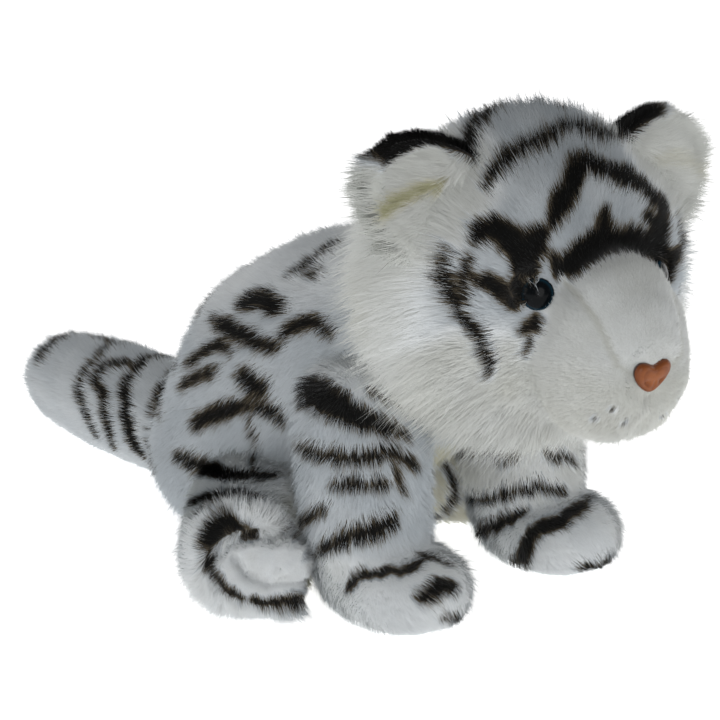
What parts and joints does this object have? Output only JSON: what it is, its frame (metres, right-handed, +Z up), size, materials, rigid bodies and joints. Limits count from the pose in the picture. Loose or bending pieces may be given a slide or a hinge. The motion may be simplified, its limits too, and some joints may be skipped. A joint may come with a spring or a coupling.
{
  "type": "plush white tiger",
  "caption": "Sitting stuffed white tiger cub with dark stripes, a short-pile muzzle, glossy eyes and nose, cupped ears, straight forelegs, splayed hind legs and a thick ringed tail.",
  "frame": {"origin": "the middle of the flat under the seat, where the cub sits", "axes": "the cub faces -Y, its left side is +X, and +Z is up"},
  "size_m": [0.2336, 0.4627, 0.2388],
  "materials": {
    "white_pile": "long white pile with printed dark stripes",
    "cream_pile": "cream pile",
    "short_pile": "short white pile",
    "ear_pile": "pale pile inside the ear",
    "black_pile": "black pile",
    "fibre": "loose fibre stuffing",
    "eye_plastic": "polished",
    "nose_plastic": "glossy orange-brown",
    "washer_plastic": "moulded"
  },
  "bodies": {
    "torso": {"torso_cover": "white_pile", "belly_panel": "cream_pile", "torso_stuffing": "fibre"},
    "head": {"head_cover": "white_pile", "muzzle_cover": "short_pile", "head_stuffing": "fibre", "nose": "nose_plastic", "nose_washer": "washer_plastic", "eye_left": "eye_plastic", "eye_right": "eye_plastic", "eye_washer_left": "washer_plastic", "eye_washer_right": "washer_plastic"},
    "ear_left": {"ear_front_left": "ear_pile", "ear_back_left": "black_pile"},
    "ear_right": {"ear_front_right": "ear_pile", "ear_back_right": "black_pile"},
    "foreleg_left": {"foreleg_cover_left": "white_pile", "foreleg_stuffing_left": "fibre"},
    "foreleg_right": {"foreleg_cover_right": "white_pile", "foreleg_stuffing_right": "fibre"},
    "hind_leg_left": {"hind_leg_cover_left": "white_pile", "hind_leg_stuffing_left": "fibre", "sole_pad_left": "short_pile"},
    "hind_leg_right": {"hind_leg_cover_right": "white_pile", "hind_leg_stuffing_right": "fibre", "sole_pad_right": "short_pile"},
    "tail": {"tail_cover": "white_pile", "tail_stuffing": "fibre"}
  },
  "joints": [
    {"name": "head_turn", "type": "hinge", "parent": "torso", "child": "head", "pos_m": [0, -0.13, 0.138], "axis": [0, 0, 1], "range_deg": [-20, 20], "stiffness_Nm_per_rad": 1.5},
    {"name": "foreleg_swing_left", "type": "hinge", "parent": "torso", "child": "foreleg_left", "pos_m": [0.046, -0.1, 0.112], "axis": [-1, 0, 0], "range_deg": [0, 20], "stiffness_Nm_per_rad": 1},
    {"name": "foreleg_swing_right", "type": "hinge", "parent": "torso", "child": "foreleg_right", "pos_m": [-0.046, -0.1, 0.112], "axis": [-1, 0, 0], "range_deg": [0, 20], "stiffness_Nm_per_rad": 1},
    {"name": "hind_leg_swing_left", "type": "hinge", "parent": "torso", "child": "hind_leg_left", "pos_m": [0.039, -0.026, 0.042], "axis": [-1, 0, 0], "range_deg": [0, 20], "stiffness_Nm_per_rad": 1},
    {"name": "hind_leg_swing_right", "type": "hinge", "parent": "torso", "child": "hind_leg_right", "pos_m": [-0.039, -0.026, 0.042], "axis": [-1, 0, 0], "range_deg": [0, 20], "stiffness_Nm_per_rad": 1},
    {"name": "tail_sway", "type": "hinge", "parent": "torso", "child": "tail", "pos_m": [0, 0.044, 0.038], "axis": [0, 0, 1], "range_deg": [-25, 25], "stiffness_Nm_per_rad": 0.8},
    {"name": "ear_fold_left", "type": "hinge", "parent": "head", "child": "ear_left", "pos_m": [0.0524, -0.18308, 0.20961], "axis": [0.5678, -0.1521, -0.809], "range_deg": [-8, 12], "stiffness_Nm_per_rad": 0.03},
    {"name": "ear_fold_right", "type": "hinge", "parent": "head", "child": "ear_right", "pos_m": [-0.05292, -0.15486, 0.20961], "axis": [0.5678, -0.1521, 0.809], "range_deg": [-8, 12], "stiffness_Nm_per_rad": 0.03}
  ]
}
